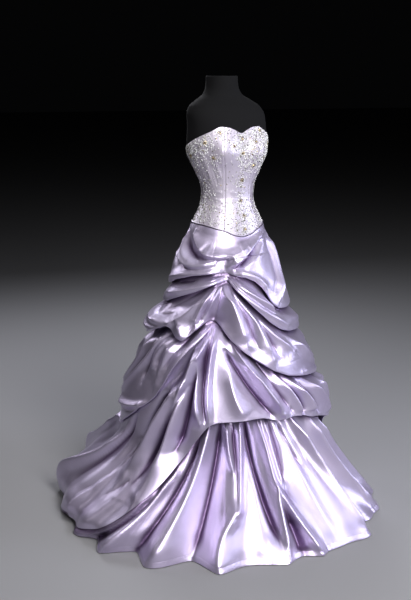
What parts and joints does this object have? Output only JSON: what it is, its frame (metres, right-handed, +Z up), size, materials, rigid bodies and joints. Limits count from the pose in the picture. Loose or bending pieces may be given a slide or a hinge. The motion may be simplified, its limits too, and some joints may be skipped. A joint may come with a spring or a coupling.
{
  "type": "evening gown on a dress form",
  "caption": "Strapless evening gown with a fitted beaded bodice, gathered satin tiers, an overskirt and a train, standing on a limbless dress form with a pole and round base",
  "frame": {"origin": "on the floor under the pole of the dress form, in the middle of the underside of its round base", "axes": "+Z up, the front of the gown faces -Y, the wearer's left is +X, the train lies towards +Y"},
  "size_m": [1.1758, 1.416, 1.545],
  "materials": {
    "satin": "lilac satin with a high sheen",
    "bodice_satin": "lilac satin under silver beadwork",
    "jersey": "matt black jersey cover",
    "metal": "dark satin paint"
  },
  "bodies": {
    "root": {"form_base": "metal", "form_pole": "metal", "form_torso": "jersey", "bodice_centre_front": "bodice_satin", "bodice_side_front_left": "bodice_satin", "bodice_side_back_left": "bodice_satin", "bodice_back_left": "bodice_satin", "bodice_back_right": "bodice_satin", "bodice_side_back_right": "bodice_satin", "bodice_side_front_right": "bodice_satin", "bodice_edge_cord": "bodice_satin", "underskirt_front": "satin", "underskirt_back": "satin", "overskirt_front": "satin", "overskirt_back": "satin", "swag_side": "satin", "swag_back": "satin", "tier_three_front": "satin", "tier_three_back": "satin", "tier_two_front": "satin", "tier_two_back": "satin", "tier_one_front": "satin", "tier_one_back": "satin"}
  },
  "joints": []
}
